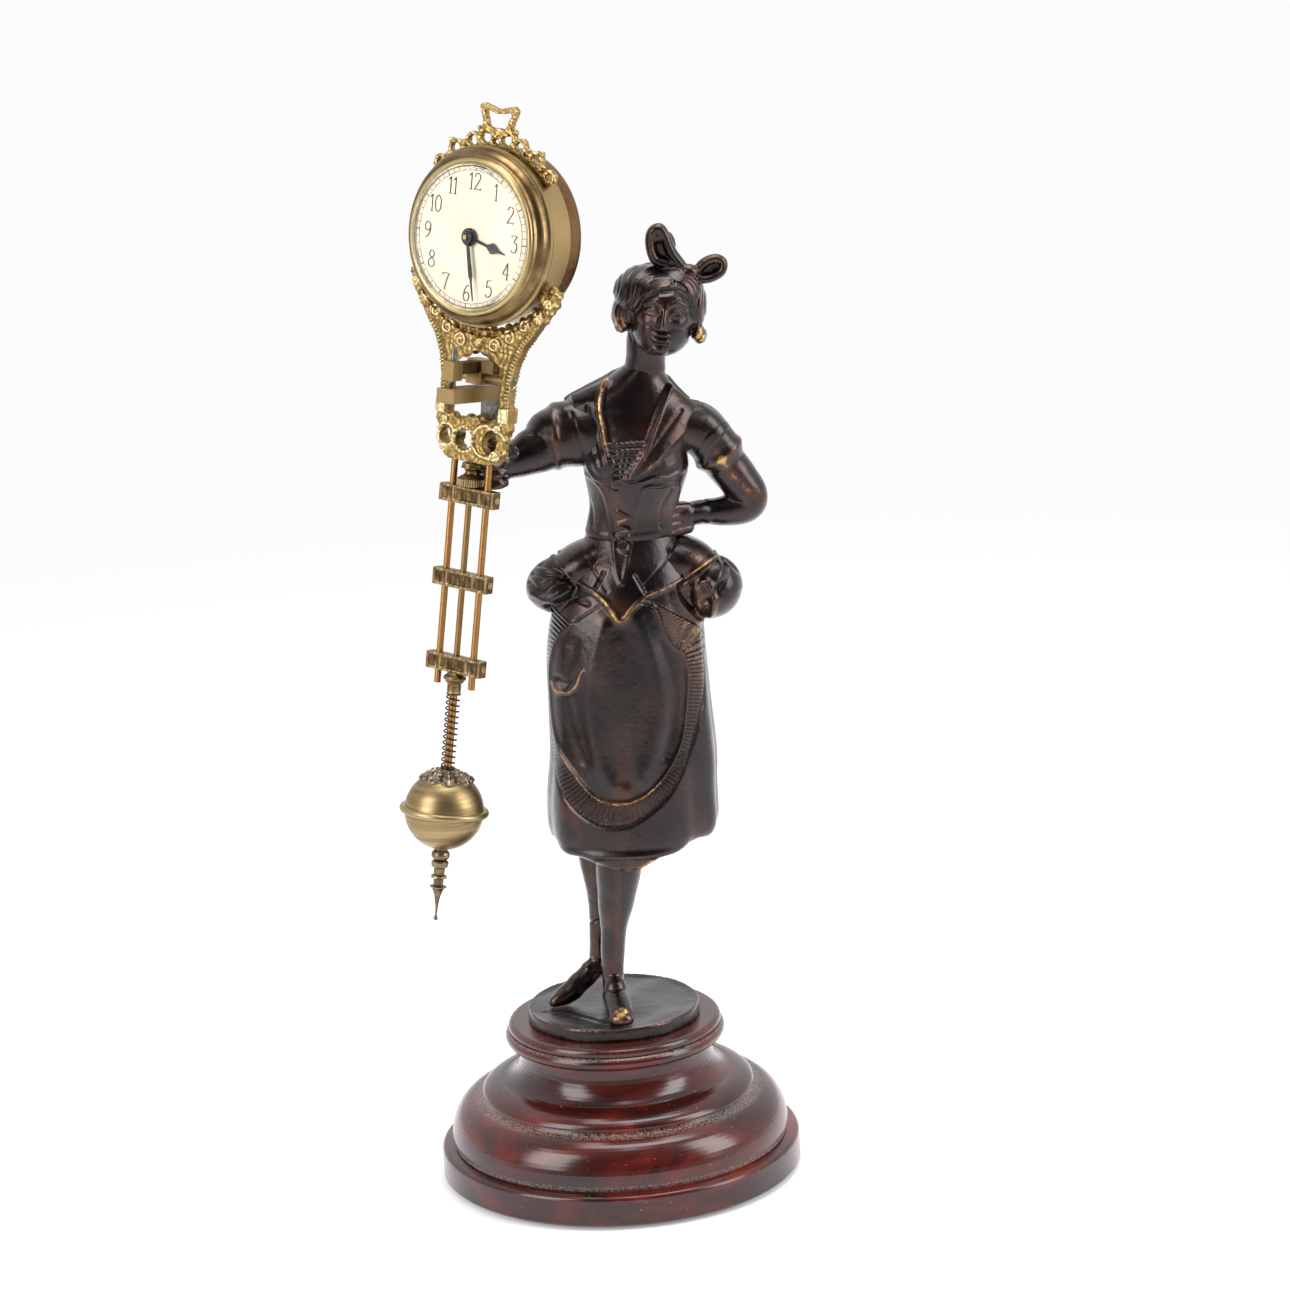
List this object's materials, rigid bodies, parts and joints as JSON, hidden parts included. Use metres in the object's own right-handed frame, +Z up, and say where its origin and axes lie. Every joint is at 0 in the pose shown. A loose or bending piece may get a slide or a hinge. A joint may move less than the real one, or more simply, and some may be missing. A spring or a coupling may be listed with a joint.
{
  "type": "swinger clock",
  "caption": "Swinging mystery clock: a bronze figure on a turned base holds a bearing on which a drum clock with gridiron pendulum and ball rocks on needle pins.",
  "frame": {"origin": "middle of the foot's underside, on the turned base's axis", "axes": "+Z up, +X to the viewer's right, -Y towards the viewer"},
  "size_m": [0.1301, 0.124, 0.3761],
  "materials": {
    "felt": "matt felt",
    "dark_red_lacquer": "turned wood, dark red gloss lacquer",
    "bronze": "cast bronze, brown-black patina",
    "old_brass": "antiqued satin brass",
    "gilt_brass": "gilt cast brass",
    "movement_brass": "grained brass",
    "copper": "copper plated brass",
    "steel": "polished steel",
    "spring_steel": "blued spring steel",
    "cast_weight": "as cast",
    "ruby": "synthetic ruby",
    "crystal": "domed clear crystal",
    "dial_enamel": "cream enamel, black printing",
    "black_hands": "oxidised dark grey",
    "silvered": "silvered cast brass"
  },
  "bodies": {
    "stand": {"felt_pad": "felt", "turned_base": "dark_red_lacquer", "base_stud": "steel", "stud_nut": "steel", "ground_disc": "bronze", "rear_leg": "bronze", "front_leg": "bronze", "skirt": "bronze", "bodice": "bronze", "head": "bronze", "raised_arm": "bronze", "hip_arm": "bronze", "bearing_post": "steel", "bearing_block": "old_brass", "bearing_jewels": "ruby", "bearing_screws": "steel"},
    "swinger": {"lyre_frame": "gilt_brass", "cross_bar": "old_brass", "pin_carrier": "old_brass", "pivot_pins": "steel", "frame_screws": "steel", "side_rods": "copper", "centre_rod": "old_brass", "gridiron_bars": "old_brass", "bar_screws": "old_brass", "collar_nut": "old_brass", "threaded_rod": "copper", "ball_spring": "spring_steel", "drum_case": "old_brass", "back_cover": "copper", "front_bezel": "old_brass", "crystal": "crystal", "dial": "dial_enamel", "crest": "gilt_brass", "front_plate": "movement_brass", "back_plate": "movement_brass", "plate_pillars": "movement_brass"},
    "rating_nut": {"rating_nut": "old_brass"},
    "ball": {"leaf_cap": "silvered", "upper_ball": "old_brass", "lower_ball": "old_brass", "ball_weight": "cast_weight", "ball_band": "gilt_brass"},
    "finial": {"finial_nut": "old_brass"},
    "barrel": {"barrel": "movement_brass", "mainspring": "spring_steel"},
    "winding": {"barrel_arbor": "steel", "winding_key": "old_brass"},
    "click": {"click": "steel"},
    "minute_hand": {"centre_wheel": "movement_brass", "cannon_pinion": "steel", "minute_hand": "black_hands", "set_knob": "old_brass"},
    "minute_wheel": {"minute_wheel": "movement_brass"},
    "hour_hand": {"hour_wheel": "movement_brass", "hour_hand": "black_hands"},
    "third_wheel": {"third_wheel": "movement_brass"},
    "escape_wheel": {"escape_wheel": "movement_brass"},
    "pallets": {"pallets": "steel", "inner_pendulum": "movement_brass"}
  },
  "joints": [
    {"name": "swing", "type": "hinge", "parent": "stand", "child": "swinger", "pos_m": [-0.03315, -0.01673, 0.28297], "axis": [0.6164, 0.7721, -0.1547], "range_deg": [-6, 6]},
    {"name": "hand_setting", "type": "hinge", "parent": "swinger", "child": "minute_hand", "pos_m": [-0.02622, -0.01228, 0.33279], "axis": [0.6164, 0.7721, -0.1547], "continuous": true},
    {"name": "minute_wheel_turn", "type": "hinge", "parent": "swinger", "child": "minute_wheel", "pos_m": [-0.02731, -0.01299, 0.3249], "axis": [0.6164, 0.7721, -0.1547], "continuous": true},
    {"name": "hour_hand_turn", "type": "hinge", "parent": "swinger", "child": "hour_hand", "pos_m": [-0.02622, -0.01228, 0.33279], "axis": [0.6164, 0.7721, -0.1547], "continuous": true},
    {"name": "barrel_turn", "type": "hinge", "parent": "swinger", "child": "barrel", "pos_m": [-0.01671, -0.02076, 0.32834], "axis": [0.6164, 0.7721, -0.1547], "continuous": true},
    {"name": "third_wheel_turn", "type": "hinge", "parent": "swinger", "child": "third_wheel", "pos_m": [-0.031, -0.007, 0.3401], "axis": [0.6164, 0.7721, -0.1547], "continuous": true},
    {"name": "escape_wheel_turn", "type": "hinge", "parent": "swinger", "child": "escape_wheel", "pos_m": [-0.02443, -0.01114, 0.34562], "axis": [0.6164, 0.7721, -0.1547], "continuous": true},
    {"name": "inner_pendulum_swing", "type": "hinge", "parent": "swinger", "child": "pallets", "pos_m": [-0.02366, -0.01064, 0.35114], "axis": [0.6164, 0.7721, -0.1547], "range_deg": [-3, 3]},
    {"name": "winding", "type": "hinge", "parent": "swinger", "child": "winding", "pos_m": [-0.01671, -0.02076, 0.32834], "axis": [-0.6164, -0.7721, 0.1547], "range_deg": [0, 1800]},
    {"name": "click_lift", "type": "hinge", "parent": "swinger", "child": "click", "pos_m": [-0.01244, -0.02355, 0.33144], "axis": [-0.6164, -0.7721, 0.1547], "range_deg": [0, 8]},
    {"name": "rating_nut_turn", "type": "hinge", "parent": "swinger", "child": "rating_nut", "pos_m": [-0.03727, -0.01937, 0.25337], "axis": [0.1373, 0.0881, 0.9866], "continuous": true},
    {"name": "ball_slide", "type": "slide", "parent": "swinger", "child": "ball", "axis": [0.1373, 0.0881, 0.9866], "range_m": [0, 0.004], "deforming": ["ball_spring"]},
    {"name": "finial_turn", "type": "hinge", "parent": "ball", "child": "finial", "pos_m": [-0.05512, -0.03083, 0.12511], "axis": [0.1373, 0.0881, 0.9866], "range_deg": [0, 2880]}
  ],
  "couplings": [
    {"joint": "minute_wheel_turn", "follows": "hand_setting", "ratio": -0.33333},
    {"joint": "hour_hand_turn", "follows": "hand_setting", "ratio": 0.083333},
    {"joint": "barrel_turn", "follows": "hand_setting", "ratio": -0.125},
    {"joint": "third_wheel_turn", "follows": "hand_setting", "ratio": -7.5},
    {"joint": "escape_wheel_turn", "follows": "hand_setting", "ratio": 56.25},
    {"joint": "finial_turn", "follows": "ball_slide", "rad_per_m": 12566}
  ]
}
